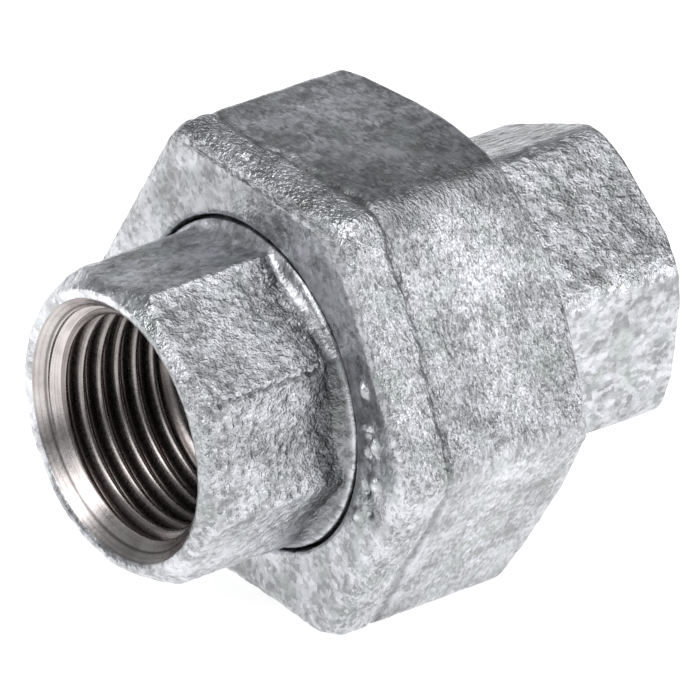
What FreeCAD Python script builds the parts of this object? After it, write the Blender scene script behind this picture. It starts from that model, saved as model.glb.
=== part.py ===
"""Straight pipe union, female to female, for half-inch pipe: a galvanised malleable iron fitting.

It has four pieces. A threaded body and a tail piece meet on a flat gasket, and the union nut, which
bears on the tail piece's flange, runs on the body's thread and pulls the two together. The tail
piece swivels in the nut until the nut is tight.

Frame: +X runs along the pipe axis from the tail piece's mouth to the body's mouth, +Z is up and the
nut stands on one of its flats. The origin is on the pipe axis, halfway between the two mouths.
Lengths are in millimetres.
"""

import FreeCAD, Part
import math
import os
import Sketcher

# Driving dimensions. A position is measured along X from the origin, and a reach is a radius.
DIMENSIONS = {
    # positions along the pipe axis
    "tail_mouth": -24.8,
    "collar_start": -12.0,
    "octagon_end": -10.9,
    "collar_full": -10.7,
    "nut_front": -10.9,
    "nut_brow": -10.2,
    "nut_hex_start": -8.9,
    "nut_shoulder": -7.6,
    "flange_front": -7.55,
    "nut_relief_end": -4.6,
    "tail_seat": -4.5,
    "body_seat": -2.5,
    "nut_rear": 8.6,
    "barrel_end": 9.6,
    "body_hex_start": 10.6,
    "body_mouth": 24.8,
    # union nut
    "nut_flats": 39.4,
    "nut_corner_round": 1.2,
    "nut_brow_flats": 38.7,
    "nut_brow_round": 5.0,
    "nut_face_flats": 36.6,
    "nut_face_round": 7.0,
    "nut_rear_reach": 19.6,
    "nut_rear_slope": 0.63,
    "nut_hole_reach": 14.46,
    "nut_hole_bevel": 0.4,
    "nut_relief_reach": 16.8,
    # tail piece
    "tail_flats": 25.9,
    "tail_corner_round": 2.0,
    "tail_rim_reach": 12.25,
    "tail_rim_slope": 1.44,
    "collar_base_reach": 12.8,
    "collar_reach": 14.1,
    "flange_reach": 15.45,
    # threaded body
    "body_flats": 25.0,
    "body_corner_round": 3.0,
    "body_rim_reach": 13.0,
    "body_rim_slope": 0.3,
    "neck_reach": 12.4,
    # pipe ports, each with a half-inch parallel internal pipe thread
    "port_crest": 9.316,
    "port_root": 10.0,
    "port_root_land": 0.08,
    "port_lead": 1.814,
    "port_sink_reach": 11.6,
    "port_sink_depth": 2.6,
    "port_run": 13.6,
    "waterway_reach": 8.8,
    # union thread: a 33 mm fine thread with room between the flanks
    "union_lead": 1.5,
    "male_crest": 16.35,
    "male_root": 15.45,
    "male_root_land": 0.22,
    "female_crest": 15.69,
    "female_root": 16.6,
    "female_root_land": 0.19,
    "thread_bevel": 1.0,
    # gasket
    "gasket_bore_reach": 10.5,
    "gasket_reach": 15.1,
}

# Where the first corner of each wrench form points, in degrees from +Y towards +Z.
NUT_TURN = 0.0
TAIL_TURN = 11.6
BODY_TURN = 36.5

PIPE_FLANK = math.tan(math.radians(27.5))
UNION_FLANK = math.tan(math.radians(30.0))
SHEET = "Sizes"
BEYOND = 1.0  # how far a cutting profile reaches past the material
BEVEL_REACH = 8.0  # how far out a bevel's cone is cut, from where it meets the face
GROOVE_OVERLAP = 0.05  # how far a thread groove opens past the wall that it is cut in


class Size:
    """A length as the expression that the document stores, with its value now."""

    def __init__(self, text, value):
        self.text = text
        self.value = value

    def joined(self, other, sign, value):
        return Size(f"({self.text} {sign} {text_of(other)})", value)

    def __add__(self, other):
        return self.joined(other, "+", self.value + value_of(other))

    def __sub__(self, other):
        return self.joined(other, "-", self.value - value_of(other))

    def __mul__(self, other):
        return self.joined(other, "*", self.value * value_of(other))

    def __truediv__(self, other):
        return self.joined(other, "/", self.value / value_of(other))


def text_of(size):
    return size.text if isinstance(size, Size) else f"{float(size):.12f}"


def value_of(size):
    return size.value if isinstance(size, Size) else float(size)


def make_sheet(doc):
    """Puts the driving dimensions in a spreadsheet, and returns them as sizes by name."""
    sheet = doc.addObject("Spreadsheet::Sheet", SHEET)
    sizes = {}
    for row, (alias, value) in enumerate(DIMENSIONS.items(), start=1):
        sheet.set(f"A{row}", alias)
        sheet.set(f"B{row}", str(value))
        sheet.setAlias(f"B{row}", alias)
        sizes[alias] = Size(f"{SHEET}.{alias}", value)
    doc.recompute()
    return sizes


def new_piece(doc, label):
    piece = doc.addObject("PartDesign::Body", label)
    piece.Label = label
    piece.Placement = FreeCAD.Placement()
    return piece


def origin_feature(piece, role):
    return next(f for f in piece.Origin.OriginFeatures if f.Role == role)


def new_sketch(piece, name, plane, offset=None):
    sketch = piece.newObject("Sketcher::SketchObject", name)
    sketch.AttachmentSupport = [(origin_feature(piece, plane), "")]
    sketch.MapMode = "FlatFace"
    if offset is not None:
        sketch.setExpression("AttachmentOffset.Base.z", offset.text)
    return sketch


def pin_point(sketch, geometry, vertex, point):
    """Holds a sketch point at a place, with each coordinate bound to its size."""
    for kind, size in zip(("DistanceX", "DistanceY"), point):
        constraint = Sketcher.Constraint(kind, -1, 1, geometry, vertex, value_of(size))
        index = sketch.addConstraint(constraint)
        if isinstance(size, Size):
            sketch.setExpression(f"Constraints[{index}]", size.text)


def profile(piece, name, points):
    """A closed outline of straight lines in the XZ plane: along the pipe axis, and reach."""
    sketch = new_sketch(piece, name, "XZ_Plane")
    places = [FreeCAD.Vector(value_of(along), value_of(reach), 0) for along, reach in points]
    count = len(places)
    for i, place in enumerate(places):
        sketch.addGeometry(Part.LineSegment(place, places[(i + 1) % count]))
    for i in range(count):
        sketch.addConstraint(Sketcher.Constraint("Coincident", i, 2, (i + 1) % count, 1))
    for i, point in enumerate(points):
        pin_point(sketch, i, 1, point)
    return sketch


def turned(piece, kind, name, points):
    """A full turn of a profile about the pipe axis: a Revolution adds, and a Groove cuts."""
    sketch = profile(piece, name + "_profile", points)
    feature = piece.newObject("PartDesign::" + kind, name)
    feature.Profile = sketch
    feature.ReferenceAxis = (origin_feature(piece, "X_Axis"), [""])
    feature.Angle = 360.0
    piece.Document.recompute()
    return feature


def rounded_polygon(piece, name, sides, flats, rounding, turn, position):
    """A regular polygon across the pipe axis, flats wide, with its corners rounded."""
    sketch = new_sketch(piece, name, "YZ_Plane", offset=position)
    half_step = math.pi / sides
    inner = flats / 2 - rounding
    radius = value_of(rounding)
    for i in range(sides):
        angle = math.radians(turn) + 2 * half_step * i
        across = inner * (math.cos(angle) / math.cos(half_step))
        up = inner * (math.sin(angle) / math.cos(half_step))
        circle = Part.Circle(
            FreeCAD.Vector(across.value, up.value, 0), FreeCAD.Vector(0, 0, 1), radius
        )
        sketch.addGeometry(Part.ArcOfCircle(circle, angle - half_step, angle + half_step))
        pin_point(sketch, i, 3, (across, up))
        index = sketch.addConstraint(Sketcher.Constraint("Radius", i, radius))
        sketch.setExpression(f"Constraints[{index}]", rounding.text)
    for i in range(sides):
        start = sketch.getPoint(i, 2)
        end = sketch.getPoint((i + 1) % sides, 1)
        line = sketch.addGeometry(Part.LineSegment(start, end))
        sketch.addConstraint(Sketcher.Constraint("Tangent", i, 2, line, 1))
        sketch.addConstraint(Sketcher.Constraint("Tangent", line, 2, (i + 1) % sides, 1))
    return sketch


def prism(piece, name, outline, run):
    """Pads an outline along +X for the length run."""
    feature = piece.newObject("PartDesign::Pad", name)
    feature.Profile = outline
    feature.setExpression("Length", run.text)
    piece.Document.recompute()
    return feature


def bevel(piece, name, face, reach, slope, outward):
    """Turns a cone off the end of a prism, from reach at the face and back by slope per reach.

    outward is +1 where the face looks along +X and -1 where it looks along -X.
    """
    wide = reach + BEVEL_REACH
    fallback = slope * (BEVEL_REACH * outward)
    points = [
        (face + BEYOND * outward, reach),
        (face, reach),
        (face - fallback, wide),
        (face + BEYOND * outward, wide),
    ]
    return turned(piece, "Groove", name, points)


def thread(piece, name, start, run, lead, root, opening, root_land, flank):
    """Cuts a right-hand thread groove about the pipe axis, from start along +X for run.

    opening is where the groove is widest, just past the threaded wall, so it is larger than root
    on an external thread and smaller on an internal one. flank is a flank's slope.
    """
    half_root = root_land / 2
    depth = opening - root if opening.value > root.value else root - opening
    half_opening = half_root + depth * flank
    points = [
        (start - half_root, root),
        (start + half_root, root),
        (start + half_opening, opening),
        (start - half_opening, opening),
    ]
    feature_profile = profile(piece, name + "_profile", points)
    feature = piece.newObject("PartDesign::SubtractiveHelix", name)
    feature.Profile = feature_profile
    feature.ReferenceAxis = (origin_feature(piece, "X_Axis"), [""])
    feature.Mode = "pitch-height-angle"
    feature.setExpression("Pitch", lead.text)
    feature.setExpression("Height", run.text)
    piece.Document.recompute()
    return feature


def port_thread(piece, name, start, run, size):
    return thread(
        piece,
        name,
        start,
        run,
        size["port_lead"],
        size["port_root"],
        size["port_crest"] - GROOVE_OVERLAP,
        size["port_root_land"],
        PIPE_FLANK,
    )


def make_nut(doc, size):
    """Union nut: a cast hexagon with a rounded front edge, threaded from the rear."""
    nut = new_piece(doc, "union_nut")
    hexagon = rounded_polygon(
        nut, "nut_hexagon", 6, size["nut_flats"], size["nut_corner_round"], NUT_TURN,
        size["nut_hex_start"],
    )
    prism(nut, "nut_barrel", hexagon, size["nut_rear"] - size["nut_hex_start"])
    edge_base = rounded_polygon(
        nut, "nut_edge_base", 6, size["nut_flats"], size["nut_corner_round"], NUT_TURN,
        size["nut_hex_start"],
    )
    brow = rounded_polygon(
        nut, "nut_brow_outline", 6, size["nut_brow_flats"], size["nut_brow_round"], NUT_TURN,
        size["nut_brow"],
    )
    face = rounded_polygon(
        nut, "nut_face_outline", 6, size["nut_face_flats"], size["nut_face_round"], NUT_TURN,
        size["nut_front"],
    )
    edge = nut.newObject("PartDesign::AdditiveLoft", "nut_front_edge")
    edge.Profile = edge_base
    edge.Sections = [brow, face]
    edge.Ruled = True
    doc.recompute()
    bevel(nut, "nut_rear_bevel", size["nut_rear"], size["nut_rear_reach"], size["nut_rear_slope"], 1)
    hole = size["nut_hole_reach"]
    hole_bevel = size["nut_hole_bevel"]
    relief = size["nut_relief_reach"]
    crest = size["female_crest"]
    inside = [
        (size["nut_front"] - BEYOND, 0.0),
        (size["nut_front"] - BEYOND, hole + hole_bevel + BEYOND),
        (size["nut_front"] + hole_bevel, hole),
        (size["nut_shoulder"], hole),
        (size["nut_shoulder"], relief),
        (size["nut_relief_end"], relief),
        (size["nut_relief_end"] + relief - crest, crest),
        (size["nut_rear"] - size["thread_bevel"], crest),
        (size["nut_rear"] + BEYOND, crest + size["thread_bevel"] + BEYOND),
        (size["nut_rear"] + BEYOND, 0.0),
    ]
    turned(nut, "Groove", "nut_inside", inside)
    lead = size["union_lead"]
    start = size["body_seat"] - lead * 1.5
    thread(
        nut, "nut_thread", start, size["nut_rear"] - start + lead, lead,
        size["female_root"], crest - GROOVE_OVERLAP, size["female_root_land"], UNION_FLANK,
    )
    return nut


def make_tail(doc, size):
    """Tail piece: an octagon with a pipe port, a round collar through the nut, and a flange."""
    tail = new_piece(doc, "tail_piece")
    mouth = size["tail_mouth"]
    octagon = rounded_polygon(
        tail, "tail_octagon", 8, size["tail_flats"], size["tail_corner_round"], TAIL_TURN, mouth
    )
    prism(tail, "tail_wrench_form", octagon, size["octagon_end"] - mouth)
    bevel(tail, "tail_rim_bevel", mouth, size["tail_rim_reach"], size["tail_rim_slope"], -1)
    collar = size["collar_reach"]
    flange = size["flange_reach"]
    swivel = [
        (size["collar_start"], 0.0),
        (size["collar_start"], size["collar_base_reach"]),
        (size["collar_full"], collar),
        (size["flange_front"], collar),
        (size["flange_front"], flange),
        (size["tail_seat"], flange),
        (size["tail_seat"], 0.0),
    ]
    turned(tail, "Revolution", "tail_swivel", swivel)
    sink_end = mouth + size["port_sink_depth"]
    sink_slope = (size["port_sink_reach"] - size["port_crest"]) / size["port_sink_depth"]
    bore_end = mouth + size["port_run"]
    waterway = size["waterway_reach"]
    bore = [
        (mouth - BEYOND, 0.0),
        (mouth - BEYOND, size["port_sink_reach"] + sink_slope * BEYOND),
        (sink_end, size["port_crest"]),
        (bore_end, size["port_crest"]),
        (bore_end + size["port_crest"] - waterway, waterway),
        (size["tail_seat"] + BEYOND, waterway),
        (size["tail_seat"] + BEYOND, 0.0),
    ]
    turned(tail, "Groove", "tail_bore", bore)
    start = mouth - size["port_lead"]
    port_thread(tail, "tail_thread", start, bore_end - start, size)
    return tail


def make_body(doc, size):
    """Threaded body: a hexagon with a pipe port, and the barrel that the union nut runs on."""
    body = new_piece(doc, "threaded_body")
    mouth = size["body_mouth"]
    hex_start = size["body_hex_start"]
    hexagon = rounded_polygon(
        body, "body_hexagon", 6, size["body_flats"], size["body_corner_round"], BODY_TURN, hex_start
    )
    prism(body, "body_wrench_form", hexagon, mouth - hex_start)
    bevel(body, "body_rim_bevel", mouth, size["body_rim_reach"], size["body_rim_slope"], 1)
    crest = size["male_crest"]
    root = size["male_root"]
    entry = size["thread_bevel"]
    barrel = [
        (size["body_seat"], 0.0),
        (size["body_seat"], crest - entry),
        (size["body_seat"] + entry, crest),
        (size["barrel_end"], crest),
        (size["barrel_end"] + (crest - root) / 2, root),
        (hex_start, size["neck_reach"]),
        (hex_start, 0.0),
    ]
    turned(body, "Revolution", "body_barrel", barrel)
    sink_start = mouth - size["port_sink_depth"]
    sink_slope = (size["port_sink_reach"] - size["port_crest"]) / size["port_sink_depth"]
    bore_start = mouth - size["port_run"]
    waterway = size["waterway_reach"]
    bore = [
        (size["body_seat"] - BEYOND, 0.0),
        (size["body_seat"] - BEYOND, waterway),
        (bore_start - size["port_crest"] + waterway, waterway),
        (bore_start, size["port_crest"]),
        (sink_start, size["port_crest"]),
        (mouth + BEYOND, size["port_sink_reach"] + sink_slope * BEYOND),
        (mouth + BEYOND, 0.0),
    ]
    turned(body, "Groove", "body_bore", bore)
    port_thread(body, "body_port_thread", bore_start, size["port_run"] + size["port_lead"], size)
    lead = size["union_lead"]
    start = size["body_seat"] - lead
    thread(
        body, "body_union_thread", start, size["body_hex_start"] - start, lead,
        root, crest + GROOVE_OVERLAP, size["male_root_land"], UNION_FLANK,
    )
    return body


def make_gasket(doc, size):
    """Flat gasket between the two seats."""
    gasket = new_piece(doc, "flat_gasket")
    ring = [
        (size["tail_seat"], size["gasket_bore_reach"]),
        (size["body_seat"], size["gasket_bore_reach"]),
        (size["body_seat"], size["gasket_reach"]),
        (size["tail_seat"], size["gasket_reach"]),
    ]
    turned(gasket, "Revolution", "gasket_ring", ring)
    return gasket


def check(doc, pieces):
    """Stops if anything in the document failed, or if a piece isn't one valid solid."""
    for thing in doc.Objects:
        if "Invalid" in thing.State or "Error" in thing.State:
            raise RuntimeError(f"{thing.Name} failed: {thing.State}")
        if thing.isDerivedFrom("Sketcher::SketchObject") and thing.solve() != 0:
            raise RuntimeError(f"{thing.Name} isn't solved")
    for piece in pieces:
        if piece.Shape.isNull() or not piece.Shape.isValid():
            raise RuntimeError(f"{piece.Label} has no valid shape")
        if len(piece.Shape.Solids) != 1:
            raise RuntimeError(f"{piece.Label} isn't one solid")


def report_cuts(piece):
    """Prints the volume after each feature, so that a cut that removed nothing shows."""
    for feature in piece.Group:
        if feature.isDerivedFrom("PartDesign::Feature"):
            print(f"{piece.Label:14} {feature.Name:20} {feature.Shape.Volume:10.1f} mm3")


def main():
    os.makedirs("parts", exist_ok=True)
    doc = FreeCAD.newDocument("pipe_union")
    size = make_sheet(doc)
    pieces = [make(doc, size) for make in (make_nut, make_tail, make_body, make_gasket)]
    doc.recompute()
    check(doc, pieces)
    for piece in pieces:
        report_cuts(piece)
        piece.Shape.exportStep(f"parts/{piece.Label}.step")


main()
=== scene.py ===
"""Galvanised malleable iron pipe union on a pale floor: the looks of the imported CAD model.

Every metal piece is one closed skin around the pipe axis. Its profile is a chain of stations, each
a distance along the axis and a reach from it, which may differ around the piece, as on a hexagon.
Threads are strips that wind along their own helix, so that crests and roots follow mesh edges.
Shapes are worked out in millimetres and become metres when a mesh is made. Angles around the axis
run from +Y towards +Z.
"""

import math

import bmesh
import bpy
import numpy as np
from mathutils import Matrix, Vector, noise


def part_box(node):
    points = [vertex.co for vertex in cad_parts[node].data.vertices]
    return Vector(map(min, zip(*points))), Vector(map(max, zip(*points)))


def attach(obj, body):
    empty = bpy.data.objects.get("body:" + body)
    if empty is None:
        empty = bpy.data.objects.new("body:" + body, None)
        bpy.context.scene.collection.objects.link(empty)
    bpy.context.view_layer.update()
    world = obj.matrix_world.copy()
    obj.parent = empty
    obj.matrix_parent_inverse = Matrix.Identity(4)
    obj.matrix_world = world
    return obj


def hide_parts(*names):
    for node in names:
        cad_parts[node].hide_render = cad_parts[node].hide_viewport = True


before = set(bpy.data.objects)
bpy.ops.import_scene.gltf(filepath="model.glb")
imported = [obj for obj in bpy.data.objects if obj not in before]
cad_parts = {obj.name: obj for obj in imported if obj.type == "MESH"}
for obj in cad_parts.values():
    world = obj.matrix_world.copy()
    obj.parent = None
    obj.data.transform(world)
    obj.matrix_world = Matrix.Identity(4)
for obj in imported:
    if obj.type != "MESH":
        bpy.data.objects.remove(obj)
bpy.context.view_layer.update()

MM = 0.001
TURN = 2 * math.pi

# ---------------------------------------------------------------- sizes, in millimetres


def node_box(node):
    """A CAD node's lowest and highest corners."""
    low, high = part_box(node)
    return low / MM, high / MM


nut_low, nut_high = node_box("union_nut")
tail_low, tail_high = node_box("tail_piece")
body_low, body_high = node_box("threaded_body")
gasket_low, gasket_high = node_box("flat_gasket")

NUT_FRONT = nut_low.x
NUT_REAR = nut_high.x
NUT_FLATS = nut_high.z - nut_low.z
NUT_ROUNDING = 1.2
NUT_HEX_START = -8.9
NUT_BROW = -10.2
NUT_BROW_FLATS = 38.7
NUT_BROW_ROUNDING = 5.0
NUT_FACE_FLATS = 36.6
NUT_FACE_ROUNDING = 7.0
NUT_PARTING = -6.6
NUT_STEP = 0.5
NUT_TURN = 0.0
NUT_HOLE = 14.46
NUT_REAR_REACH = 19.55
NUT_REAR_SLOPE = 0.63
NUT_INNER_FACE = -7.6
NUT_RELIEF = 16.8
NUT_RELIEF_END = -4.6

TAIL_MOUTH = tail_low.x
TAIL_SEAT = tail_high.x
TAIL_FLATS = 25.9
TAIL_ROUNDING = 0.7
TAIL_TURN = 11.6
TAIL_RIM = 12.25
TAIL_RIM_SLOPE = 1.44
COLLAR_FULL = -10.7
COLLAR_RISE = 3.2
COLLAR = 14.15
FLANGE_FRONT = -7.55
FLANGE = tail_high.y

BODY_SEAT = body_low.x
BODY_MOUTH = body_high.x
BODY_FLATS = 25.0
BODY_ROUNDING = 3.0
BODY_TURN = 36.5
BODY_RIM = 13.0
BODY_RIM_SLOPE = 0.3
BODY_HEX_START = 10.6
BARREL_END = 9.6
BARREL = body_high.y

RIM_INNER = 11.6
SINK_DEPTH = 2.6
SINK_START = 0.3
SINK_STEP = 1.1
PORT_CREST = 9.316
PORT_ROOT = 10.478
PORT_LEAD = 1.814
PORT_RUN = 13.6
PORT_LAND = 0.3
PORT_FLANK = 27.5
WATERWAY = 8.8
GASKET_BORE = 10.5

UNION_LEAD = 1.5
MALE_ROOT = 15.45
FEMALE_CREST = 15.69
FEMALE_ROOT = 16.6
MALE_LAND = 0.22
FEMALE_LAND = 0.19
UNION_FLANK = 30
THREAD_BEVEL = 1.0
THREAD_ROUNDING = 0.14  # the share of a flank that is rounded off at its crest and at its root

SKIN_DEPTH = 0.1  # how far the cast skins are drawn in, so that their bumps stay inside the CAD

# Points around each piece, outside and inside
NUT_COLUMNS = (544, 136)
TAIL_COLUMNS = (560, 280)
BODY_COLUMNS = (432, 216)
GASKET_COLUMNS = 240

# ---------------------------------------------------------------- skins around the pipe axis


def columns_of(count):
    """The angles of count even columns around the pipe axis."""
    return np.arange(count) * (TURN / count)


def polygon_reach(angle, sides, flats, rounding, turn):
    """Reach of a regular polygon with rounded corners at each angle."""
    half_step = math.pi / sides
    offset = (angle - math.radians(turn) + half_step) % (2 * half_step) - half_step
    apothem = flats / 2
    flat = apothem / np.cos(half_step - np.abs(offset))
    centre = (apothem - rounding) / math.cos(half_step)
    inside = np.maximum(rounding**2 - (centre * np.sin(offset)) ** 2, 0)
    corner = centre * np.cos(offset) + np.sqrt(inside)
    tangent = np.arctan2(rounding * math.sin(half_step), centre + rounding * math.cos(half_step))
    return np.where(np.abs(offset) < tangent, corner, flat)


class Skin:
    """Points, faces and finishes of one closed skin, gathered loop by loop."""

    def __init__(self):
        self.points = []
        self.cast = []
        self.faces = []
        self.finishes = []
        self.count = 0

    def add(self, along, reach, angle, cast):
        """Adds one loop or row of points, and returns their numbers."""
        along, reach, angle, cast = np.broadcast_arrays(along, reach, angle, cast)
        self.points.append(np.column_stack([along, reach * np.cos(angle), reach * np.sin(angle)]))
        self.cast.append(cast.astype(float))
        first = self.count
        self.count += len(along)
        return np.arange(first, self.count)

    def fill(self, faces, finish):
        """Adds faces of one finish."""
        self.faces.extend(faces)
        self.finishes.extend([finish] * len(faces))

    def join(self, near, far, finish):
        """Closes the band between two loops, whose counts are equal or one twice the other."""
        if len(near) == len(far):
            quads = np.column_stack([near, np.roll(near, -1), np.roll(far, -1), far])
            self.fill(quads.tolist(), finish)
            return
        dense, sparse = (near, far) if len(near) > len(far) else (far, near)
        even, odd = dense[0::2], dense[1::2]
        next_even, next_sparse = np.roll(even, -1), np.roll(sparse, -1)
        self.fill(np.column_stack([even, odd, sparse]).tolist(), finish)
        self.fill(np.column_stack([odd, next_sparse, sparse]).tolist(), finish)
        self.fill(np.column_stack([odd, next_even, next_sparse]).tolist(), finish)


class Station:
    """A place on a profile. cast is how rough the skin is there, from 0 (machined) to 1."""

    def __init__(self, along, reach, cast=0.0, finish=0, step=0.2):
        self.along = along
        self.reach = reach
        self.cast = cast
        self.finish = finish
        self.step = step


def lay_rows(skin, stations, count, softening=0):
    """Adds rows of points from station to station. A station's step and finish hold up to it.

    softening rounds cast edges along the profile, and returns the first and the last loop.
    """
    angle = columns_of(count)
    along, reach, cast, finish = [], [], [], []
    for here, there in zip(stations, stations[1:]):
        span = np.hypot(
            np.mean(np.abs(np.asarray(there.along) - here.along)),
            np.mean(np.abs(np.asarray(there.reach) - here.reach)),
        )
        pieces = max(1, int(round(span / there.step)))
        for i in range(pieces):
            part = i / pieces
            along.append(np.broadcast_to(here.along + (there.along - here.along) * part, count))
            reach.append(np.broadcast_to(here.reach + (there.reach - here.reach) * part, count))
            cast.append(here.cast + (there.cast - here.cast) * part)
            finish.append(there.finish)
    along.append(np.broadcast_to(stations[-1].along, count))
    reach.append(np.broadcast_to(stations[-1].reach, count))
    cast.append(stations[-1].cast)
    along, reach, cast = np.array(along, float), np.array(reach, float), np.array(cast)
    pull = np.clip(cast * 2, 0, 1)[1:-1, None] * 0.5
    for _ in range(softening):
        for values in (along, reach):
            middle = (values[:-2] + values[2:]) / 2
            values[1:-1] += (middle - values[1:-1]) * pull
    loops = [skin.add(a, r, angle, c) for a, r, c in zip(along, reach, cast)]
    for near, far, slot in zip(loops, loops[1:], finish):
        skin.join(near, far, slot)
    return loops[0], loops[-1]


def lay_loop(skin, along, reach, count):
    """Adds one plain loop of points."""
    return lay_rows(skin, [Station(along, reach)], count)[0]


class Thread:
    """A right-hand thread about the pipe axis: groove is where its groove crosses angle zero."""

    def __init__(self, lead, groove, crest, root, root_land, flank_angle):
        self.lead = lead
        self.groove = groove
        self.crest = crest
        self.root = root
        self.root_half = root_land / 2
        slope = math.tan(math.radians(flank_angle))
        self.crest_half = self.root_half + abs(crest - root) * slope

    def reach(self, along, angle, depth=1.0):
        """Reach of the threaded wall. depth fades the groove, from 1 (full) to 0 (none)."""
        across = (along - self.groove) / self.lead - angle / TURN
        distance = np.abs((across + 0.5) % 1.0 - 0.5) * self.lead
        rise = (distance - self.root_half) / (self.crest_half - self.root_half)
        rounded = THREAD_ROUNDING
        low = np.clip(rise + rounded, 0, 2 * rounded) ** 2 / (4 * rounded)
        high = np.clip(1 + rounded - rise, 0, 2 * rounded) ** 2 / (4 * rounded)
        rise = np.where(rise < rounded, low, np.where(rise > 1 - rounded, 1 - high, rise))
        return self.crest + (self.root - self.crest) * (1 - rise) * depth

    def offsets(self, rows_per_flank=2):
        """Distances from a crest's middle, over one lead, where rows of points are wanted."""
        crest_edge = self.lead / 2 - self.crest_half
        root_edge = self.lead / 2 - self.root_half
        flank = np.linspace(crest_edge, root_edge, rows_per_flank + 2)
        lip = (root_edge - crest_edge) * THREAD_ROUNDING
        half = [0.0, crest_edge - lip * 0.7, *flank[:1] + lip, *flank[1:-1], *flank[-1:] - lip * 0.5]
        half = [max(h, 0) for h in half]
        other = [self.lead - h for h in half[1:]]
        return np.array(sorted(set(half + [self.lead / 2] + other)))


def lay_thread(skin, thread, count, low, high, crowd, wall, finish, spare=0.8):
    """Adds a threaded wall from low to high as a strip that winds along the thread.

    Within crowd of each end the strip's rows are crowded, because it starts and stops spare leads
    outside, and wall gives the reach at a place. Returns a function for each end, which joins
    that end to a plain loop of count points.
    """
    crest = thread.groove + thread.lead / 2
    start = crest + math.floor((low - spare * thread.lead - crest) / thread.lead) * thread.lead
    turns = math.ceil((high + spare * thread.lead - start) / thread.lead) - 1
    stop = start + (turns + 1) * thread.lead
    nominal = [start, low + crowd, high - crowd, stop]
    actual = [low, low + crowd, high - crowd, high]
    offsets = thread.offsets()
    steps = len(offsets)
    span = turns * count
    rows = []
    for i, offset in enumerate(offsets):
        column = np.arange(span + (count if i == 0 else 0) + 1)
        angle = column * (TURN / count)
        along = np.interp(start + offset + thread.lead * column / count, nominal, actual)
        rows.append(skin.add(along, wall(along, angle), angle, 0.0))
    for i in range(steps):
        near = rows[i][: span + 1]
        far = rows[i + 1] if i + 1 < steps else rows[0][count : span + count + 1]
        quads = np.column_stack([near[:-1], near[1:], far[1:], far[:-1]])
        skin.fill(quads.tolist(), finish)
    first = rows[0][: count + 1]
    last = rows[0][span : span + count + 1]

    def join_low(loop, slot):
        quads = np.column_stack([loop[:-1], loop[1:], first[1:count], first[: count - 1]])
        skin.fill(quads.tolist(), slot)
        edge = [loop[0]] + [row[0] for row in rows] + [first[count], first[count - 1]]
        skin.fill([[int(loop[-1]), int(a), int(b)] for a, b in zip(edge, edge[1:])], slot)

    def join_high(loop, slot):
        after = np.roll(loop, -1)
        quads = np.column_stack([last[1:-1], last[2:], after[1:], loop[1:]])
        skin.fill(quads.tolist(), slot)
        edge = [last[1]] + [row[span] for row in rows] + [last[count], loop[0]]
        skin.fill([[int(loop[1]), int(a), int(b)] for a, b in zip(edge, edge[1:])], slot)

    return join_low, join_high


# ---------------------------------------------------------------- cast relief


def around(angle, levels):
    """A value at each angle, from levels at angles in degrees, blended between them."""
    degrees = np.degrees(angle) % 360
    return np.interp(degrees, list(levels), list(levels.values()), period=360)


def cast_relief(point, coarse, squeeze, width):
    """Height of the galvanised cast surface at a point, in millimetres, and how proud it is.

    coarse scales the bumps' height and width their width, and squeeze narrows them along the
    pipe axis into streaks.
    """
    warp = noise.noise(point / 7.5)
    wave = noise.noise(point / 2.2)
    streak = Vector((point.x * squeeze, point.y, point.z)) / width
    lump = noise.noise(streak / 1.25)
    grain = noise.noise(streak / 0.66)
    nearest = noise.voronoi(streak / 0.9)[0][0]
    pimple = max(0.0, 1 - (nearest / 0.55) ** 2)
    bumps = coarse * (0.10 * pimple + 0.09 * lump + 0.06 * grain)
    return 0.10 * warp + 0.07 * wave + bumps, bumps


def held_under(height):
    """Height with its peaks held below the depth that the skin is drawn in."""
    peak = SKIN_DEPTH * (1 - np.exp(-np.maximum(height, 0) / SKIN_DEPTH))
    return np.where(height > 0, peak, height) - SKIN_DEPTH


class Casting:
    """How a cast piece's skin varies. Each is a function of along, reach and angle.

    coarse scales the bumps, the second function multiplies the colour by painted light and shade, and marks
    adds heights in millimetres. squeeze narrows the bumps along the pipe axis, and width widens them all
    round.
    """

    def __init__(self, coarse, tone, marks=None, squeeze=1.0, width=1.0):
        self.coarse = coarse
        self.tone = tone
        self.marks = marks
        self.squeeze = squeeze
        self.width = width


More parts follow.
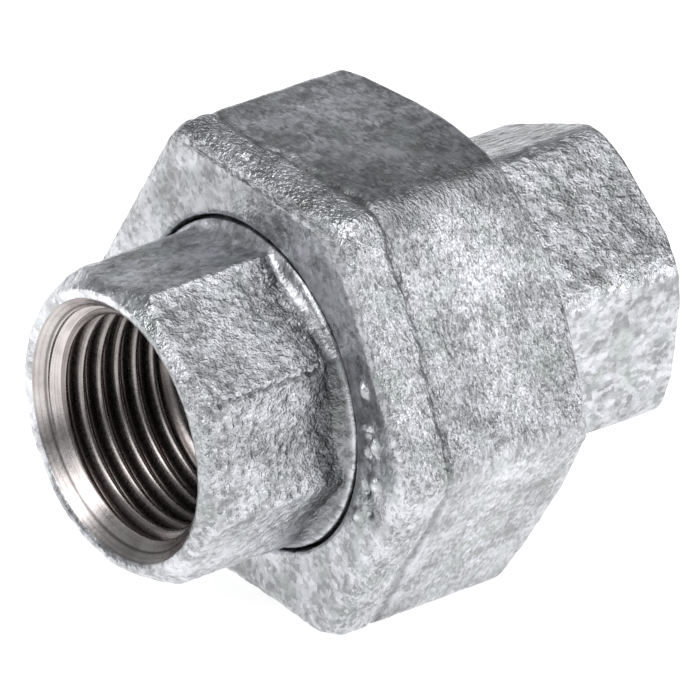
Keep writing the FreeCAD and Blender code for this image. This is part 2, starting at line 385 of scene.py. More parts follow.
def make_piece(name, skin, finishes, casting=None):
    """Makes the object, gives its cast skin its relief, and shades it smooth."""
    points = np.concatenate(skin.points)
    cast = np.concatenate(skin.cast)
    mesh = bpy.data.meshes.new(name)
    mesh.from_pydata(points.tolist(), [], skin.faces)
    shaper = bmesh.new()
    shaper.from_mesh(mesh)
    bmesh.ops.recalc_face_normals(shaper, faces=shaper.faces)
    shaper.to_mesh(mesh)
    shaper.free()
    mesh.update()
    normals = np.empty(len(points) * 3)
    mesh.vertex_normals.foreach_get("vector", normals)
    normals = normals.reshape(-1, 3)
    labels = {"proud": np.zeros(len(points)), "coarse": cast, "tone": np.ones(len(points))}
    if casting:
        place = (
            points[:, 0],
            np.hypot(points[:, 1], points[:, 2]),
            np.arctan2(points[:, 2], points[:, 1]),
        )
        coarse = casting.coarse(*place) * cast
        height = np.zeros(len(points))
        for i in np.flatnonzero(cast > 0):
            height[i], labels["proud"][i] = cast_relief(
                Vector(points[i]), float(coarse[i]), casting.squeeze, casting.width
            )
        relief = held_under(height)
        if casting.marks:
            relief += casting.marks(*place)
        # The colour's factor of painted light and shade.
        labels["tone"] = casting.tone(*place)
        labels["coarse"] = coarse
        points = points + normals * (relief * cast)[:, None]
    mesh.vertices.foreach_set("co", (points * MM).ravel())
    for finish in finishes:
        mesh.materials.append(finish)
    mesh.polygons.foreach_set("material_index", skin.finishes)
    mesh.polygons.foreach_set("use_smooth", [True] * len(mesh.polygons))
    for label, values in labels.items():
        attribute = mesh.attributes.new(label, "FLOAT", "POINT")
        attribute.data.foreach_set("value", values)
    mesh.update()
    piece = bpy.data.objects.new(name, mesh)
    bpy.context.collection.objects.link(piece)
    return piece


def blob(along, angle, reach, place, degrees, length, width, height):
    """A steep lump at a place along the axis and round it, in degrees."""
    turn = (angle - math.radians(degrees) + math.pi) % TURN - math.pi
    apart = ((along - place) / length) ** 2 + (turn * reach / width) ** 2
    return height * np.exp(-(apart**2))


# ---------------------------------------------------------------- materials


class Shader:
    """A node material for an iron or rubber finish."""

    def __init__(self, name, squeeze=1.0):
        self.material = bpy.data.materials.new(name)
        self.material.use_nodes = True
        self.tree = self.material.node_tree
        self.tree.nodes.clear()
        self.surface = self.tree.nodes.new("ShaderNodeBsdfPrincipled")
        output = self.tree.nodes.new("ShaderNodeOutputMaterial")
        self.link(self.surface.outputs[0], output.inputs[0])
        self.place = self.tree.nodes.new("ShaderNodeTexCoord").outputs["Object"]
        self.streaks = self.tree.nodes.new("ShaderNodeVectorMath")
        self.streaks.operation = "MULTIPLY"
        self.link(self.place, self.streaks.inputs[0])
        self.streaks.inputs[1].default_value = (squeeze, 1, 1)

    def link(self, source, target):
        self.tree.links.new(source, target)

    def put(self, socket, value):
        if isinstance(value, bpy.types.NodeSocket):
            self.link(value, socket)
        else:
            socket.default_value = value

    def attribute(self, name):
        node = self.tree.nodes.new("ShaderNodeAttribute")
        node.attribute_name = name
        return node.outputs["Fac"]

    def noise(self, size, detail=2.0, roughness=0.5, distortion=0.0, place=None):
        """Fractal noise whose largest lumps are size millimetres across."""
        node = self.tree.nodes.new("ShaderNodeTexNoise")
        self.link(place or self.place, node.inputs["Vector"])
        node.inputs["Scale"].default_value = 1 / (size * MM)
        node.inputs["Detail"].default_value = detail
        node.inputs["Roughness"].default_value = roughness
        node.inputs["Distortion"].default_value = distortion
        return node.outputs["Fac"]

    def crystals(self, size):
        """A random grey for each of many ragged grains, size millimetres across."""
        ragged = self.tree.nodes.new("ShaderNodeTexNoise")
        self.link(self.place, ragged.inputs["Vector"])
        ragged.inputs["Scale"].default_value = 2.5 / (size * MM)
        sway = self.tree.nodes.new("ShaderNodeVectorMath")
        sway.operation = "MULTIPLY_ADD"
        self.link(ragged.outputs["Color"], sway.inputs[0])
        sway.inputs[1].default_value = [size * MM] * 3
        self.link(self.streaks.outputs[0], sway.inputs[2])
        node = self.tree.nodes.new("ShaderNodeTexVoronoi")
        self.link(sway.outputs[0], node.inputs["Vector"])
        node.inputs["Scale"].default_value = 1 / (size * MM)
        return node.outputs["Color"]

    def math(self, operation, *values):
        node = self.tree.nodes.new("ShaderNodeMath")
        node.operation = operation
        for socket, value in zip(node.inputs, values):
            self.put(socket, value)
        return node.outputs[0]

    def remap(self, value, low, high, to_low=0.0, to_high=1.0):
        node = self.tree.nodes.new("ShaderNodeMapRange")
        for socket, item in zip(node.inputs, (value, low, high, to_low, to_high)):
            self.put(socket, item)
        return node.outputs[0]

    def ramp(self, value, *stops):
        node = self.tree.nodes.new("ShaderNodeValToRGB")
        self.link(value, node.inputs[0])
        elements = node.color_ramp.elements
        while len(elements) < len(stops):
            elements.new(0.5)
        for element, (position, colour) in zip(elements, stops):
            element.position = position
            element.color = (*colour, 1)
        return node.outputs[0]

    def mix(self, amount, first, second, blend="MIX"):
        node = self.tree.nodes.new("ShaderNodeMix")
        node.data_type = "RGBA"
        node.blend_type = blend
        self.put(node.inputs[0], amount)
        for socket, value in zip((node.inputs[6], node.inputs[7]), (first, second)):
            self.put(socket, (*value, 1) if isinstance(value, tuple) else value)
        return node.outputs[2]

    def bump(self, height, distance, after=None):
        """A normal bent by a height. distance is that height's scale, in millimetres."""
        node = self.tree.nodes.new("ShaderNodeBump")
        node.inputs["Distance"].default_value = distance * MM
        self.link(height, node.inputs["Height"])
        if after is not None:
            self.link(after, node.inputs["Normal"])
        return node.outputs[0]

    def finish(self, colour, roughness, normal, metallic):
        self.put(self.surface.inputs["Base Color"], colour)
        self.put(self.surface.inputs["Roughness"], roughness)
        self.put(self.surface.inputs["Metallic"], metallic)
        self.link(normal, self.surface.inputs["Normal"])
        return self.material


def galvanised_zinc(name, squeeze, grain):
    """Hot-dip zinc on a rough casting: clouded grey metal whose grains carry painted glints, with painted
    highlights on its proud bumps and painted shade in its pits.

    grain is their size in millimetres, and squeeze narrows them along the pipe axis.
    """
    shader = Shader(name, squeeze)
    streaks = shader.streaks.outputs[0]
    proud = shader.attribute("proud")
    coarse = shader.attribute("coarse")
    tone = shader.attribute("tone")
    clouds = shader.noise(4.0, detail=4.0, roughness=0.6, distortion=0.3)
    patches = shader.noise(1.3, detail=5.0, roughness=0.7)
    speck = shader.noise(grain, detail=2.0, place=streaks)
    grit = shader.noise(0.22, detail=1.0)
    mottle = shader.math("MULTIPLY_ADD", clouds, 0.5, shader.math("MULTIPLY", patches, 0.3))
    mottle = shader.math("MULTIPLY_ADD", shader.crystals(0.45), 0.2, mottle)
    grey = shader.ramp(
        mottle,
        (0.41, (0.34, 0.342, 0.354)),
        (0.47, (0.49, 0.494, 0.512)),
        (0.52, (0.615, 0.625, 0.655)),
        (0.59, (0.79, 0.802, 0.84)),
    )
    stain = shader.remap(shader.noise(3.4, detail=3.0), 0.54, 0.68, 0.0, 0.4)
    tinted = shader.mix(stain, grey, (0.50, 0.56, 0.53))
    # Painted highlight: the proud bumps are turned towards near-white.
    painted_peak_light = shader.mix(shader.remap(proud, 0.05, 0.16, 0.0, 0.3), tinted, (0.92, 0.93, 0.96))
    # Painted glints: the bump noise's high spots are turned near-white.
    painted_glints = shader.math("MULTIPLY", shader.remap(speck, 0.56, 0.64, 0.0, 0.55), coarse)
    glinted = shader.mix(painted_glints, painted_peak_light, (0.92, 0.925, 0.94))
    # Painted shade in the hollows, where the bump noise is lowest.
    painted_pit_shade = shader.math("MULTIPLY", shader.remap(speck, 0.43, 0.33, 0.0, 0.45), coarse)
    pit_shaded = shader.mix(painted_pit_shade, glinted, (0.24, 0.24, 0.25))
    # Multiplies in the piece's painted light and shade.
    colour = shader.mix(1.0, pit_shaded, tone, "MULTIPLY")
    roughness = shader.remap(patches, 0.35, 0.65, 0.26, 0.40)
    relief = shader.math("MULTIPLY", speck, shader.remap(coarse, 0.0, 1.0, 0.1, 1.0))
    normal = shader.bump(relief, grain * 0.5)
    sand = shader.math("MULTIPLY", grit, shader.remap(coarse, 0.0, 1.0, 0.25, 1.0))
    normal = shader.bump(sand, 0.1, after=normal)
    return shader.finish(colour, roughness, normal, 1.0)


def machined_iron():
    """Bare turned iron: fine rings around the pipe axis, dark residue and painted shade in the threads, and
    a painted shade line on the countersink.
    """
    shader = Shader("machined_iron")
    split = shader.tree.nodes.new("ShaderNodeSeparateXYZ")
    shader.link(shader.place, split.inputs[0])
    along, across, up = split.outputs
    squares = shader.math("ADD", shader.math("POWER", across, 2.0), shader.math("POWER", up, 2.0))
    reach = shader.math("SQRT", squares)
    rings = shader.tree.nodes.new("ShaderNodeCombineXYZ")
    shader.link(along, rings.inputs[0])
    shader.link(reach, rings.inputs[1])
    tool_marks = shader.noise(0.14, detail=2.0, place=rings.outputs[0])
    stain = shader.noise(2.6, detail=3.0, roughness=0.5)
    speck = shader.noise(0.3, detail=2.0)
    turned = shader.math("MULTIPLY_ADD", tool_marks, 0.5, shader.math("MULTIPLY", stain, 0.5))
    base = shader.ramp(
        turned,
        (0.38, (0.34, 0.314, 0.309)),
        (0.50, (0.485, 0.452, 0.445)),
        (0.62, (0.63, 0.595, 0.585)),
    )
    threads_end = (BODY_MOUTH - SINK_DEPTH * 0.8) * MM
    threaded = shader.math("LESS_THAN", shader.math("ABSOLUTE", along), threads_end)
    # The threads darken with depth: partly dark residue, partly painted shade in the grooves.
    depth = shader.remap(reach, PORT_CREST * MM, (PORT_CREST + 0.7) * MM, 0.3, 0.9)
    # A thin painted shade line round the countersink, SINK_STEP in from the mouth, in place of the shaded
    # step between its two cones.
    inside = shader.math("SUBTRACT", BODY_MOUTH * MM, shader.math("ABSOLUTE", along))
    off_step = shader.math("ABSOLUTE", shader.math("SUBTRACT", inside, SINK_STEP * MM))
    step_shaded = shader.mix(shader.remap(off_step, 0.04 * MM, 0.12 * MM, 0.7, 0.0), base, (0.1, 0.09, 0.09))
    colour = shader.mix(shader.math("MULTIPLY", depth, threaded), step_shaded, (0.085, 0.066, 0.06))
    roughness = shader.remap(speck, 0.3, 0.7, 0.24, 0.34)
    normal = shader.bump(tool_marks, 0.012)
    normal = shader.bump(speck, 0.006, after=normal)
    return shader.finish(colour, roughness, normal, 1.0)


def gasket_rubber():
    shader = Shader("gasket_rubber")
    bloom = shader.noise(3.0, detail=4.0)
    grain = shader.noise(0.12, detail=2.0)
    colour = shader.ramp(bloom, (0.35, (0.016, 0.016, 0.017)), (0.7, (0.045, 0.045, 0.046)))
    roughness = shader.remap(bloom, 0.3, 0.7, 0.62, 0.78)
    return shader.finish(colour, roughness, shader.bump(grain, 0.02), 0.0)


NUT_ZINC = galvanised_zinc("galvanised_zinc_nut", 1.9, 0.5)
TAIL_ZINC = galvanised_zinc("galvanised_zinc_tail", 0.8, 0.45)
BODY_ZINC = galvanised_zinc("galvanised_zinc_body", 0.8, 0.8)
IRON = machined_iron()
RUBBER = gasket_rubber()
CAST, MACHINED = 0, 1

# ---------------------------------------------------------------- pipe ports


def port_sink(depth_in):
    """Reach of the port's countersink at a depth into the mouth."""
    return RIM_INNER - (RIM_INNER - PORT_CREST) * depth_in / SINK_DEPTH


def lay_port(skin, thread, mouth, inward, count):
    """Adds a pipe thread and its countersink. inward is +1 where the port runs along +X.

    Returns the joiners of the mouth end and of the inner end.
    """

    def wall(along, angle):
        depth_in = (along - mouth) * inward
        fade = np.clip((PORT_RUN - 0.3 - depth_in) / 2.2, 0, 1)
        return np.maximum(thread.reach(along, angle, fade), port_sink(depth_in))

    ends = sorted((mouth + inward * (SINK_START + 0.02), mouth + inward * (PORT_RUN - 0.1)))
    low, high = lay_thread(skin, thread, count, ends[0], ends[1], 1.65, wall, MACHINED)
    return (low, high) if inward > 0 else (high, low)


# ---------------------------------------------------------------- union nut


def on_front(along):
    """1 on the nut's front face, and 0 from half a millimetre behind it."""
    return np.clip((NUT_FRONT + 0.55 - along) / 0.4, 0, 1)


def parting_line(angle):
    """Where the nut's wavy parting line is, along the axis."""
    waves = ((3, 1.0, 0.3), (7, 2.0, 0.15), (13, 0.5, 0.12), (29, 2.0, 0.1), (53, 0.0, 0.07))
    return NUT_PARTING + sum(size * np.sin(count * angle + turn) for count, turn, size in waves)


def face_lumps(reach, angle):
    """Height of a few nameless casting lumps and hollows on the nut's front face."""
    return sum(
        blob(reach, angle, reach, place, degrees, length, width, height)
        for place, degrees, length, width, height in (
            (16.8, 157.0, 0.45, 0.7, 0.5),
            (16.3, 168.0, 0.9, 0.4, 0.5),
            (17.2, 173.0, 0.4, 0.8, 0.5),
            (16.7, 171.0, 0.35, 0.35, -0.5),
            (16.1, 175.5, 0.4, 0.6, 0.4),
            (17.2, 185.0, 0.6, 0.7, 0.5),
            (16.3, 188.5, 0.4, 0.6, -0.5),
            (17.0, 195.0, 0.5, 0.5, -0.45),
            (15.9, 200.0, 0.4, 0.6, 0.4),
        )
    )


def nut_marks(along, reach, angle):
    """The lumps on the front face, and a pit behind its upper edge."""
    pit = blob(along, angle, reach, -9.3, 82.0, 0.35, 0.4, -0.5)
    return on_front(along) * face_lumps(reach, angle) + pit


def nut_coarse(along, reach, angle):
    """Smooth on the front face, coarse on the front edge, and then as the facet is."""
    sides = around(angle, {30: 0.6, 65: 0.2, 80: 0.1, 106: 0.1, 122: 0.5, 150: 0.85, 182: 0.6, 200: 0.4})
    edge = np.clip((NUT_PARTING - along) / 0.6, 0, 1)
    return (1 - 0.8 * on_front(along)) * (sides + (1.0 - sides) * edge)


def nut_painted_light(along, reach, angle):
    """Painted light: painted shade on the front face, a painted highlight on the front edge, and painted
    shade on top.
    """
    # Painted light and shade, facet by facet.
    sides = around(
        angle,
        {30: 0.9, 65: 1.05, 85: 1.0, 105: 0.69, 113: 0.63}
        | {128: 0.75, 140: 0.86, 176: 0.68, 186: 0.9, 240: 0.9},
    )
    sides = sides * (1 + 0.1 * np.cos((along - 1.0) * 0.62))
    # Painted highlight along the front edge.
    front_edge = around(angle, {0: 0.85, 60: 0.75, 90: 0.95, 120: 0.85, 180: 0.8, 240: 0.85})
    edge = np.clip((NUT_PARTING - along) / 1.2, 0, 1)
    face = np.clip((NUT_FRONT + 1.0 - along) / 0.9, 0, 1) * np.clip((19.0 - reach) / 0.9, 0, 1)
    banded = sides + (front_edge - sides) * edge
    # Painted shade on the front face.
    painted_face_light = around(
        angle, {0: 0.85, 60: 0.55, 90: 0.58, 125: 0.7, 150: 0.72, 178: 0.76, 200: 0.8, 250: 0.85}
    )
    # The parting line's painted shadow lies in the step's groove above, and behind it below.
    depth = around(angle, {60: 0.4, 118: 0.4, 135: 0.25, 172: 0.25, 190: 0.5, 240: 0.5})
    behind = around(angle, {60: 0.1, 175: 0.1, 190: 0.55, 240: 0.5, 270: 0.1})
    crease_shadow = 1 - depth * np.exp(-(((along - parting_line(angle) - behind) / 0.42) ** 2))
    # Painted highlights on the face's lumps and painted shade in its hollows.
    painted_face_light = painted_face_light * (1 + 0.9 * face_lumps(reach, angle))
    return (banded + (painted_face_light - banded) * face) * crease_shadow


def make_nut():
    skin = Skin()
    outer, inner = NUT_COLUMNS
    angle = columns_of(outer)
    # At two opposite corners the brow runs into the hexagon with hardly a step.
    merged = around(
        angle, {29: 0.0, 31: 1.0, 89: 1.0, 91: 0.0, 209: 0.0, 211: 1.0, 269: 1.0, 271: 0.0}
    )
    low_step = around(
        angle, {30: 1.0, 50: 0.25, 70: 0.25, 90: 1.0, 215: 1.0, 232: 0.3, 248: 0.3, 265: 1.0}
    )
    corners = around(angle, {89: 2.4, 91: 4.5, 149: 4.5, 151: 2.8})
    band = polygon_reach(angle, 6, NUT_FLATS, NUT_ROUNDING * (1 + 1.4 * merged), NUT_TURN)
    hexagon = polygon_reach(angle, 6, NUT_FLATS - NUT_STEP * low_step, corners, NUT_TURN)
    brow = polygon_reach(angle, 6, NUT_BROW_FLATS, NUT_BROW_ROUNDING * (1 - 0.3 * merged), NUT_TURN)
    face = polygon_reach(angle, 6, NUT_FACE_FLATS, NUT_FACE_ROUNDING * (1 - 0.2 * merged), NUT_TURN)
    parting = parting_line(angle)
    slope = NUT_REAR_SLOPE * around(
        angle, {30: 1.0, 60: 0.7, 90: 1.0, 150: 1.0, 180: 0.5, 210: 1.0, 240: 0.7, 270: 1.0}
    )
    rear_edge = NUT_REAR - np.maximum(hexagon - NUT_REAR_REACH, 0) * slope - 0.4
    groove_depth = around(
        angle,
        {45: 0.15, 72: 0.15, 95: 0.45, 115: 0.45, 130: 0.25, 172: 0.25, 185: 0.45, 215: 0.4, 235: 0.15},
    )
    entry = FEMALE_CREST + THREAD_BEVEL
    stations = [
        Station(NUT_FRONT + 2.0, NUT_HOLE),
        Station(NUT_FRONT + 0.4, NUT_HOLE, 0.2),
        Station(NUT_FRONT, NUT_HOLE + 0.3, 0.8),
        Station(NUT_FRONT, face, 1.0),
        Station(NUT_BROW, brow, 1.0),
        Station(NUT_HEX_START, band, 1.0),
        Station(parting - 0.4, band, 1.0),
        Station(parting - 0.1, band - 0.15, 1.0, step=0.16),
        Station(parting + 0.1, hexagon - groove_depth, 1.0, step=0.16),
        Station(parting + 0.7, hexagon, 1.0, step=0.16),
        Station(rear_edge, hexagon, 1.0, step=0.24),
        Station(rear_edge + 0.4, np.minimum(hexagon - 0.3, NUT_REAR_REACH + 2.0), 1.0),
        Station(NUT_REAR, NUT_REAR_REACH - 0.4, 1.0),
        Station(NUT_REAR, 17.5, 0.6, step=0.3),
        Station(NUT_REAR, entry, finish=MACHINED, step=0.4),
    ]
    first, last = lay_rows(skin, stations, outer, softening=2)
    half = lay_loop(skin, NUT_REAR - 0.03, entry - 0.03, outer // 2)
    rear_loop = lay_loop(skin, NUT_REAR - 0.06, entry - 0.06, inner)
    skin.join(last, half, MACHINED)
    skin.join(half, rear_loop, MACHINED)
    groove = BODY_SEAT - UNION_LEAD * 1.5 - UNION_LEAD / 4
    thread = Thread(UNION_LEAD, groove, FEMALE_CREST, FEMALE_ROOT, FEMALE_LAND, UNION_FLANK)
    thread_end = NUT_RELIEF_END + NUT_RELIEF - FEMALE_CREST

    def wall(along, angle):
        bevel = FEMALE_CREST + np.maximum(along - (NUT_REAR - THREAD_BEVEL), 0)
        fade = np.clip((along - thread_end) / 1.0, 0, 1)
        return np.maximum(thread.reach(along, angle, fade), bevel)

    join_front, join_rear = lay_thread(
        skin, thread, inner, thread_end + 0.02, NUT_REAR - 0.1, 1.4, wall, MACHINED, spare=1.5
    )
    join_rear(rear_loop, MACHINED)
    hole_start = NUT_INNER_FACE + (NUT_FRONT - NUT_INNER_FACE) * 0.2
    inside = [
        Station(thread_end, FEMALE_CREST),
        Station(NUT_RELIEF_END, NUT_RELIEF, step=0.5),
        Station(NUT_INNER_FACE, NUT_RELIEF, step=1.0),
        Station(NUT_INNER_FACE, NUT_HOLE, step=1.0),
        Station(hole_start, NUT_HOLE, step=1.0),
    ]
    front_loop, hole_loop = lay_rows(skin, inside, inner)
    join_front(front_loop, MACHINED)
    half = lay_loop(skin, hole_start - 0.3, NUT_HOLE, outer // 2)
    skin.join(hole_loop, half, CAST)
    skin.join(half, first, CAST)
    casting = Casting(nut_coarse, nut_painted_light, nut_marks, squeeze=1.5)
    return make_piece("union_nut_iron", skin, [NUT_ZINC, IRON], casting)


# ---------------------------------------------------------------- tail piece


def tail_coarse(along, reach, angle):
    """Calm on the top facet, coarse on the next ones, and smooth on the collar's upper side."""
    sides = around(angle, {30: 0.5, 78: 0.3, 98: 0.3, 106: 1.0, 145: 1.0, 190: 0.8, 235: 0.5})
    calm = around(angle, {100: 0.12, 145: 0.12, 153: 0.8, 232: 0.8, 240: 0.12})
    return sides * np.clip((COLLAR_FULL - 0.9 - along) / 0.5, calm, 1)


def off_seam(along, reach, angle):
    """Distance round the tail from its wavy casting seam, which follows one edge."""
    turn = (angle - math.radians(TAIL_TURN + 135) + math.pi) % TURN - math.pi
    return turn * reach - 0.12 * np.sin(along * 4.1) - 0.08 * np.sin(along * 9.7)


def on_seam(along):
    """1 along the seam, fading out before the mouth and the collar."""
    return np.clip((along - TAIL_MOUTH - 1.6) / 0.5, 0, 1) * np.clip((-12.2 - along) / 0.5, 0, 1)


def tail_painted_light(along, reach, angle):
    """Painted light: lighter on the top facet, painted shade where the facets rise to the collar, and a
    painted highlight and shadow along the seam.
    """
    sides = around(angle, {30: 1.0, 80: 1.2, 98: 1.14, 108: 0.72, 140: 0.66, 150: 0.68, 185: 0.72, 240: 0.9})
    # Painted shade where the facets rise to the collar.
    collar_shade = around(angle, {98: 1.0, 112: 0.9, 145: 0.8, 154: 0.42, 180: 0.48, 190: 0.45, 225: 0.5, 240: 1.0})
    raised = np.clip((along + 14.4) / 1.4, 0, 1) * np.clip((-10.8 - along) / 0.15, 0, 1)
    off = off_seam(along, reach, angle)
    # Painted highlight on the seam's ridge and painted shadow in its groove.
    seam_light = 0.4 * np.exp(-((off / 0.2) ** 2)) - 0.5 * np.exp(-(((off - 0.42) / 0.22) ** 2))
    return sides * (1 + (collar_shade - 1) * raised) * (1 + seam_light * on_seam(along))


def tail_marks(along, reach, angle):
    """A ragged ridge of flash on the seam, and a groove beside it."""
    off = off_seam(along, reach, angle)
    ragged = 0.6 + 0.4 * np.sin(along * 7.3 + 1.0) * np.sin(along * 2.9)
    ridge = 0.4 * ragged * np.exp(-((off / 0.2) ** 2))
    groove = 0.3 * np.exp(-(((off - 0.42) / 0.2) ** 2))
    return (ridge - groove) * on_seam(along)


def make_tail():
    skin = Skin()
    outer, inner = TAIL_COLUMNS
    angle = columns_of(outer)
    corners = TAIL_ROUNDING * around(angle, {70: 5.0, 90: 1.0, 205: 1.0, 225: 5.0})
    octagon = polygon_reach(angle, 8, TAIL_FLATS, corners, TAIL_TURN)
    rim_slope = TAIL_RIM_SLOPE * around(angle, {60: 1.0, 100: 0.6, 200: 0.5, 250: 1.0})
    rim_end = TAIL_MOUTH + np.maximum(octagon - TAIL_RIM, 0) * rim_slope
    collar = around(angle, {0: 0.0, 95: 0.05, 115: 0.2, 180: 0.2, 215: 0.05, 300: 0.0}) + COLLAR
    rise = [
        Station(
            COLLAR_FULL - COLLAR_RISE * (1 - part),
            np.maximum(octagon, TAIL_FLATS / 2 + (collar - TAIL_FLATS / 2) * part**4),
            1.0 if part < 0.9 else 0.3,
            step=0.17,
        )
        for part in (0.0, 0.3, 0.5, 0.6, 0.7, 0.8, 0.85, 0.9, 0.95, 1.0)
    ]
    stations = [
        Station(TAIL_MOUTH + SINK_START - 0.02, port_sink(SINK_START - 0.02)),
        Station(TAIL_MOUTH, RIM_INNER + 0.15, 0.5, step=0.15),
        Station(TAIL_MOUTH, TAIL_RIM, 1.0, step=0.15),
        Station(rim_end, octagon, 1.0, step=0.17),
        *rise,
        Station(COLLAR_FULL + 0.8, collar, 0.3, step=0.2),
        Station(FLANGE_FRONT - 0.2, collar, 0.0, step=0.5),
        Station(FLANGE_FRONT, COLLAR + 0.2, 0.0, finish=MACHINED, step=0.5),
        Station(FLANGE_FRONT, FLANGE - 0.2, 0.0, finish=MACHINED, step=0.5),
        Station(FLANGE_FRONT + 0.2, FLANGE, 0.0, finish=MACHINED, step=0.5),
        Station(TAIL_SEAT - 0.3, FLANGE, 0.0, finish=MACHINED, step=0.8),
        Station(TAIL_SEAT, FLANGE - 0.3, 0.0, finish=MACHINED, step=0.5),
    ]
    first, last = lay_rows(skin, stations, outer, softening=2)
    bore_end = TAIL_MOUTH + PORT_RUN
    inside = [
        Station(TAIL_SEAT, FLANGE - 0.5, finish=MACHINED),
        Station(TAIL_SEAT, WATERWAY + 0.4, finish=MACHINED, step=0.7),
        Station(TAIL_SEAT - 0.4, WATERWAY, finish=MACHINED, step=0.7),
        Station(bore_end + PORT_CREST - WATERWAY, WATERWAY, 0.0, step=0.6),
        Station(bore_end, PORT_CREST, finish=MACHINED, step=0.6),
    ]
    seat_loop, bore_loop = lay_rows(skin, inside, inner)
    skin.join(last, seat_loop, MACHINED)
    groove = TAIL_MOUTH - PORT_LEAD - PORT_LEAD / 4
    thread = Thread(PORT_LEAD, groove, PORT_CREST, PORT_ROOT, PORT_LAND, PORT_FLANK)
    join_mouth, join_inner = lay_port(skin, thread, TAIL_MOUTH, 1, inner)
    join_inner(bore_loop, MACHINED)
    lip = lay_loop(skin, TAIL_MOUTH + SINK_START, port_sink(SINK_START), inner)
    join_mouth(lip, MACHINED)
    skin.join(lip, first, MACHINED)
    casting = Casting(tail_coarse, tail_painted_light, tail_marks)
    return make_piece("tail_piece_iron", skin, [TAIL_ZINC, IRON], casting)


# ---------------------------------------------------------------- threaded body


def body_painted_light(along, reach, angle):
    """Painted light: nearly even, with a little painted shade on the upper facets."""
    return around(angle, {30: 0.95, 85: 0.85, 100: 0.75, 145: 0.78, 165: 0.82, 240: 0.82})


def body_coarse(along, reach, angle):
    """Coarsest on the facet between the upper and the near one."""
    return around(angle, {30: 0.6, 80: 0.4, 100: 0.8, 145: 0.8, 165: 0.4, 210: 0.35, 300: 0.5})


def make_body():
    skin = Skin()
    outer, inner = BODY_COLUMNS
    angle = columns_of(outer)
    hexagon = polygon_reach(angle, 6, BODY_FLATS, BODY_ROUNDING, BODY_TURN)
    rim_end = BODY_MOUTH - np.maximum(hexagon - BODY_RIM, 0) * BODY_RIM_SLOPE
    stations = [
        Station(BODY_MOUTH - SINK_START + 0.02, port_sink(SINK_START - 0.02)),
        Station(BODY_MOUTH, RIM_INNER + 0.15, 0.5, step=0.15),
        Station(BODY_MOUTH, np.minimum(BODY_RIM, hexagon - 0.1), 1.0, step=0.15),
        Station(rim_end - 0.1, hexagon, 1.0, step=0.18),
        Station(BODY_HEX_START + 0.6, hexagon, 1.0, step=0.2),
        Station(BODY_HEX_START, hexagon - 0.4, 0.8, step=0.2),
        Station(BODY_HEX_START - 0.5, MALE_ROOT - 0.3, 0.3, step=0.3),
        Station(BARREL_END + 0.1, BARREL - 0.15, 0.0, finish=MACHINED, step=0.3),
    ]
    first, last = lay_rows(skin, stations, outer, softening=3)
    barrel_loop = lay_loop(skin, BARREL_END + 0.06, BARREL - 0.04, inner)
    skin.join(last, barrel_loop, MACHINED)
    groove = BODY_SEAT - UNION_LEAD - UNION_LEAD / 4
    thread = Thread(UNION_LEAD, groove, BARREL, MALE_ROOT, MALE_LAND, UNION_FLANK)

    def wall(along, angle):
        bevel = BARREL - np.maximum(BODY_SEAT + THREAD_BEVEL - along, 0)
        fade = np.clip((BARREL_END - 0.1 - along) / 1.0, 0, 1)
        return np.minimum(thread.reach(along, angle, fade), bevel)

    join_seat, join_barrel = lay_thread(
        skin, thread, inner, BODY_SEAT + 0.04, BARREL_END, 1.5, wall, MACHINED, spare=1.5
    )
    join_barrel(barrel_loop, MACHINED)
    bore_start = BODY_MOUTH - PORT_RUN
    inside = [
        Station(BODY_SEAT, BARREL - THREAD_BEVEL, finish=MACHINED),
        Station(BODY_SEAT, WATERWAY + 0.4, finish=MACHINED, step=0.7),
        Station(BODY_SEAT + 0.4, WATERWAY, finish=MACHINED, step=0.7),
        Station(bore_start - PORT_CREST + WATERWAY, WATERWAY, 0.0, step=0.6),
        Station(bore_start, PORT_CREST, finish=MACHINED, step=0.6),
    ]
    seat_loop, bore_loop = lay_rows(skin, inside, inner)
    join_seat(seat_loop, MACHINED)
    groove = bore_start - PORT_LEAD / 4
    port = Thread(PORT_LEAD, groove, PORT_CREST, PORT_ROOT, PORT_LAND, PORT_FLANK)
    join_mouth, join_inner = lay_port(skin, port, BODY_MOUTH, -1, inner)
    join_inner(bore_loop, MACHINED)
    lip = lay_loop(skin, BODY_MOUTH - SINK_START, port_sink(SINK_START), inner)
    join_mouth(lip, MACHINED)
    skin.join(lip, first, MACHINED)
    casting = Casting(body_coarse, body_painted_light, width=1.5)
    return make_piece("threaded_body_iron", skin, [BODY_ZINC, IRON], casting)


# ---------------------------------------------------------------- gasket


def make_gasket():
    skin = Skin()
    low, high = gasket_low.x, gasket_high.x
    bore, rim = GASKET_BORE, gasket_high.y
    middle = (low + high) / 2
    edge = 0.35
    stations = [
        Station(low + edge, rim - 0.06),
        Station(low + 0.08, rim - edge * 0.6, step=0.12),
        Station(low, rim - edge * 1.4, step=0.15),
        Station(low, bore + edge * 1.4, step=0.35),
        Station(low + 0.08, bore + edge * 0.6, step=0.15),
        Station(low + edge, bore + 0.06, step=0.12),
        Station(middle - 0.1, bore + 0.1, step=0.2),
        Station(middle, bore, step=0.1),
        Station(middle + 0.1, bore + 0.1, step=0.1),
        Station(high - edge, bore + 0.06, step=0.2),
        Station(high - 0.08, bore + edge * 0.6, step=0.12),
        Station(high, bore + edge * 1.4, step=0.15),
        Station(high, rim - edge * 1.4, step=0.35),
        Station(high - 0.08, rim - edge * 0.6, step=0.15),
        Station(high - edge, rim - 0.06, step=0.12),
        Station(middle + 0.1, rim - 0.1, step=0.2),
        Station(middle, rim, step=0.1),
        Station(middle - 0.1, rim - 0.1, step=0.1),
    ]
    first, last = lay_rows(skin, stations, GASKET_COLUMNS)
    skin.join(last, first, 0)
    return make_piece("flat_gasket_rubber", skin, [RUBBER])


# ---------------------------------------------------------------- assembly

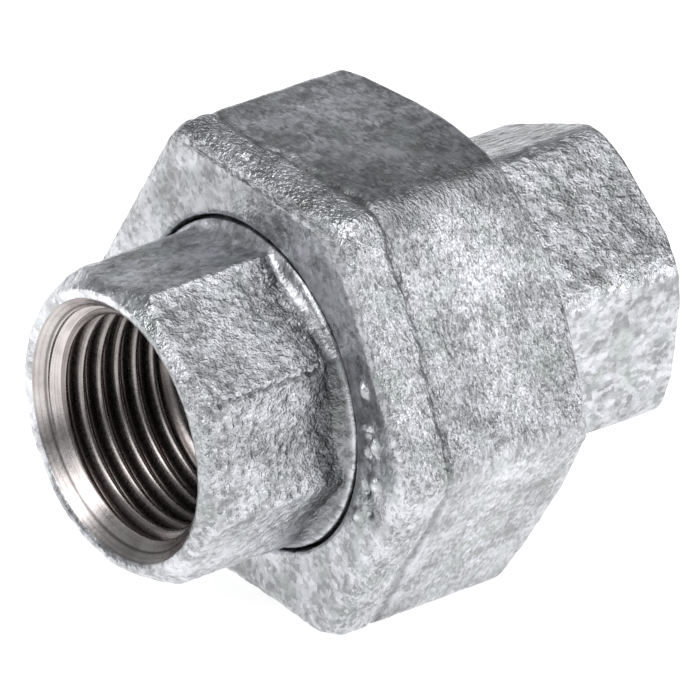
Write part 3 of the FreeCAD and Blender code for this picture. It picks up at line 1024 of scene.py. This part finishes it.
for piece, node, body, slot in (
    (make_nut(), "union_nut", "nut", "galvanised_iron"),
    (make_tail(), "tail_piece", "tail", "galvanised_iron"),
    (make_body(), "threaded_body", "body", "galvanised_iron"),
    (make_gasket(), "flat_gasket", "gasket", "gasket_rubber"),
):
    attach(piece, body)
    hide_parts(node)

# ---------------------------------------------------------------- floor, lights and camera


def make_floor():
    half = 1.5
    height = nut_low.z * MM
    mesh = bpy.data.meshes.new("floor")
    corners = [(-half, -half), (half, -half), (half, half), (-half, half)]
    mesh.from_pydata([(x, y, height) for x, y in corners], [], [(0, 1, 2, 3)])
    floor = bpy.data.objects.new("floor", mesh)
    bpy.context.collection.objects.link(floor)
    paper = bpy.data.materials.new("pale_paper")
    paper.use_nodes = True
    surface = paper.node_tree.nodes["Principled BSDF"]
    surface.inputs["Base Color"].default_value = (0.6, 0.6, 0.6, 1)
    surface.inputs["Roughness"].default_value = 0.9
    surface.inputs["Emission Color"].default_value = (1, 1, 1, 1)
    surface.inputs["Emission Strength"].default_value = 0.78
    mesh.materials.append(paper)


def soft_light(name, place, size, power):
    """A rectangular soft light that looks at the object."""
    light = bpy.data.lights.new(name, "AREA")
    light.shape = "RECTANGLE"
    light.size, light.size_y = size
    light.energy = power
    lamp = bpy.data.objects.new(name, light)
    bpy.context.collection.objects.link(lamp)
    lamp.location = place
    lamp.rotation_euler = (-Vector(place)).to_track_quat("-Z", "Y").to_euler()


def make_world():
    """A dim, even room."""
    world = bpy.data.worlds.new("studio")
    world.use_nodes = True
    background = world.node_tree.nodes["Background"]
    background.inputs["Color"].default_value = (0.96, 0.97, 1.0, 1)
    background.inputs["Strength"].default_value = 0.29
    bpy.context.scene.world = world


def make_camera():
    """A long lens on the pipe axis, from the tail piece's side and above."""
    azimuth, elevation, roll = (math.radians(a) for a in (-38.355, 29.123, 1.587))
    distance = 0.91983
    back = Vector(
        (
            math.sin(azimuth) * math.cos(elevation),
            -math.cos(azimuth) * math.cos(elevation),
            math.sin(elevation),
        )
    )
    right = Vector((math.cos(azimuth), math.sin(azimuth), 0))
    up = back.cross(right)
    side = right * math.cos(roll) + up * math.sin(roll)
    top = up * math.cos(roll) - right * math.sin(roll)
    lens = bpy.data.cameras.new("camera")
    lens.sensor_width = 36
    lens.lens = 570.8
    lens.clip_end = 10
    camera = bpy.data.objects.new("camera", lens)
    bpy.context.collection.objects.link(camera)
    axes = Matrix((side, top, back)).transposed().to_4x4()
    place = back * distance - (side * 0.15 + top * 0.21) * MM
    camera.matrix_world = Matrix.Translation(place) @ axes
    bpy.context.scene.camera = camera


bpy.context.scene.view_settings.view_transform = "Standard"
make_floor()
make_world()
soft_light("overhead", (0.1, -0.1, 0.9), (1.1, 1.1), 4.4)
soft_light("right_front", (0.45, -0.75, 0.33), (0.6, 0.6), 3.0)
soft_light("left", (-0.7, -0.06, 0.74), (0.5, 1.05), 5.6)
make_camera()
